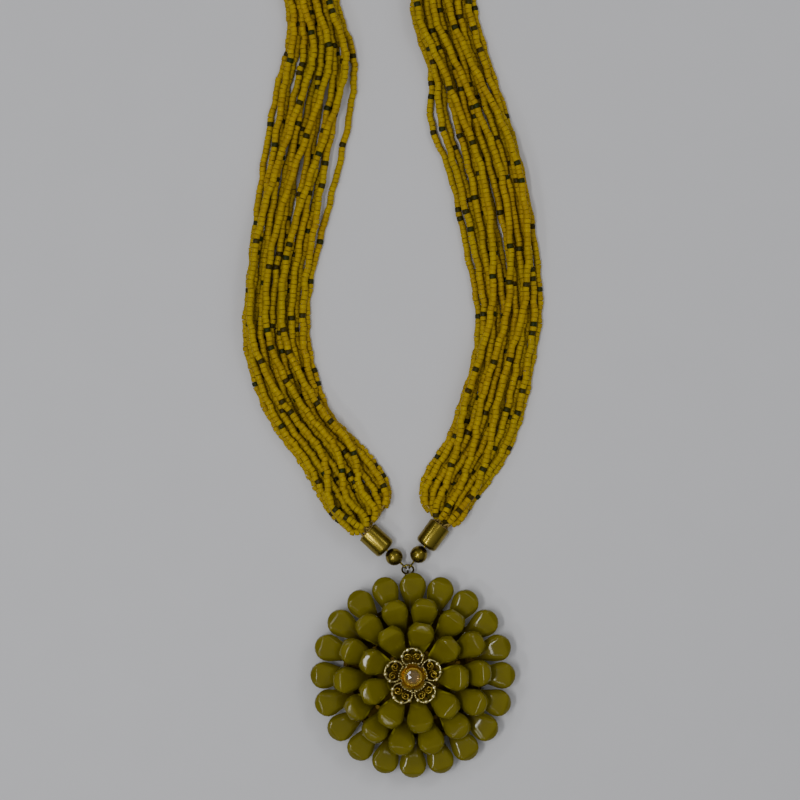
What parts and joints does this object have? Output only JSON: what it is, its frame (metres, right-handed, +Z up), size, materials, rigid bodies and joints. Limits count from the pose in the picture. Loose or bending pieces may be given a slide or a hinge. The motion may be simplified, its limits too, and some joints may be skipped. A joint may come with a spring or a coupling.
{
  "type": "beaded pendant necklace",
  "caption": "Lying necklace of fine yellow seed-bead strings gathered into gold cord ends, with round gold beads, a link ring and a domed pendant of faceted olive drops round a filigree flower.",
  "frame": {"origin": "centre of the pendant's flat back, on the surface that the necklace lies on", "axes": "+Z up from the surface, +Y from the pendant towards the back of the neck, +X to the right seen from above"},
  "size_m": [0.0977, 0.3336, 0.0152],
  "materials": {
    "yellow_beads": "glossy, opaque",
    "gold_fittings": "polished",
    "thread": "matte",
    "dark_gold": "dull",
    "olive_drops": "polished, faceted",
    "flower_gold": "polished",
    "stone": "cut and polished"
  },
  "bodies": {
    "root": {"strand_1": "yellow_beads", "strand_2": "yellow_beads", "strand_3": "yellow_beads", "strand_4": "yellow_beads", "strand_5": "yellow_beads", "strand_6": "yellow_beads", "strand_7": "yellow_beads", "strand_8": "yellow_beads", "strand_9": "yellow_beads", "strand_10": "yellow_beads", "strand_11": "yellow_beads", "strand_12": "yellow_beads", "strand_13": "yellow_beads", "strand_14": "yellow_beads", "strand_15": "yellow_beads", "strand_16": "yellow_beads", "cord_end_left": "gold_fittings", "cord_end_right": "gold_fittings", "thread_knot_left": "thread", "thread_knot_right": "thread", "eye_pin_left": "gold_fittings", "eye_pin_right": "gold_fittings", "gold_bead_left": "gold_fittings", "gold_bead_right": "gold_fittings", "centre_ring": "gold_fittings", "pendant_base": "dark_gold", "outer_wire": "dark_gold", "middle_wire": "dark_gold", "inner_wire": "dark_gold", "outer_drops": "olive_drops", "middle_drops": "olive_drops", "inner_drops": "olive_drops", "flower_cap": "flower_gold", "stone_cup": "flower_gold", "centre_stone": "stone"}
  },
  "joints": []
}
